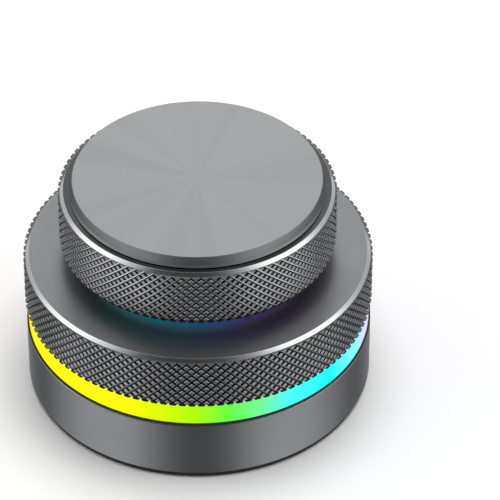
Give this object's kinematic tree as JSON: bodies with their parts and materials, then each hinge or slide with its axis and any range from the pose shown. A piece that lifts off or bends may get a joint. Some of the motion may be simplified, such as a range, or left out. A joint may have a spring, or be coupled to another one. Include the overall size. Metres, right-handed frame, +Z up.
{
  "type": "two-tier macro dial",
  "caption": "Round desk macro controller: a knurled push knob above a knurled lower dial, with a light ring between the dial and a plain round base.",
  "frame": {"origin": "centre of the footprint on the desk surface", "axes": "+Z up along the turning axis of both dials, +Y towards the rear with the socket, +X to the right"},
  "size_m": [0.0664, 0.0664, 0.0459],
  "materials": {
    "base_metal": "fine-blasted, dark grey anodised",
    "dial_metal": "knurled, grey anodised, with bright cut chamfers",
    "cap_metal": "spun face with fine concentric lines",
    "foot_rubber": "matt",
    "diffuser": "frosted, lit from behind",
    "black_plastic": "moulded, fine grain",
    "bearing_plastic": "machined",
    "steel": "bright",
    "green_board": "solder resist",
    "white_board": "white solder resist",
    "chip": "moulded epoxy",
    "lamp": "lens",
    "magnet": "bonded ferrite",
    "battery_wrap": "film",
    "ribbon": "flat cable film",
    "contact_brass": "stamped"
  },
  "bodies": {
    "base": {"base_shell": "base_metal", "bottom_cover": "black_plastic", "rubber_foot": "foot_rubber", "cover_screws": "steel", "main_board": "green_board", "board_screws": "steel", "board_chips": "chip", "usb_shell": "steel", "usb_tongue": "black_plastic", "switch_body": "steel", "battery": "battery_wrap", "ribbon_cable": "ribbon", "ribbon_sockets": "bearing_plastic", "centre_frame": "black_plastic", "frame_screws": "steel", "led_board": "white_board", "leds": "lamp", "hall_sensors": "chip", "light_ring": "diffuser", "light_seal": "foot_rubber", "thrust_washer": "steel", "dial_clip": "steel", "encoder_body": "black_plastic", "encoder_frame": "steel", "encoder_board": "green_board", "encoder_washer": "steel", "encoder_nut": "steel", "glow_board": "white_board", "glow_leds": "lamp", "glow_ring": "diffuser"},
    "dial": {"lower_dial": "dial_metal", "dial_carrier": "black_plastic", "dial_bush": "bearing_plastic", "magnet_ring": "magnet"},
    "rotor": {"encoder_rotor": "contact_brass"},
    "knob": {"upper_knob": "dial_metal", "top_cap": "cap_metal", "knob_hub": "black_plastic", "hub_clip": "steel", "encoder_shaft": "steel"},
    "slider": {"switch_slider": "black_plastic"}
  },
  "joints": [
    {"name": "dial_turn", "type": "hinge", "parent": "base", "child": "dial", "pos_m": [0, 0, 0.02], "axis": [0, 0, 1], "continuous": true},
    {"name": "knob_turn", "type": "hinge", "parent": "base", "child": "rotor", "pos_m": [0, 0, 0.0265], "axis": [0, 0, 1], "continuous": true},
    {"name": "knob_press", "type": "slide", "parent": "rotor", "child": "knob", "axis": [0, 0, -1], "range_m": [0, 0.0008], "stiffness_N_per_m": 4000, "springref_m": -0.0006},
    {"name": "switch_slide", "type": "slide", "parent": "base", "child": "slider", "axis": [0.8829, -0.4695, 0], "range_m": [-0.002, 0.002]}
  ]
}
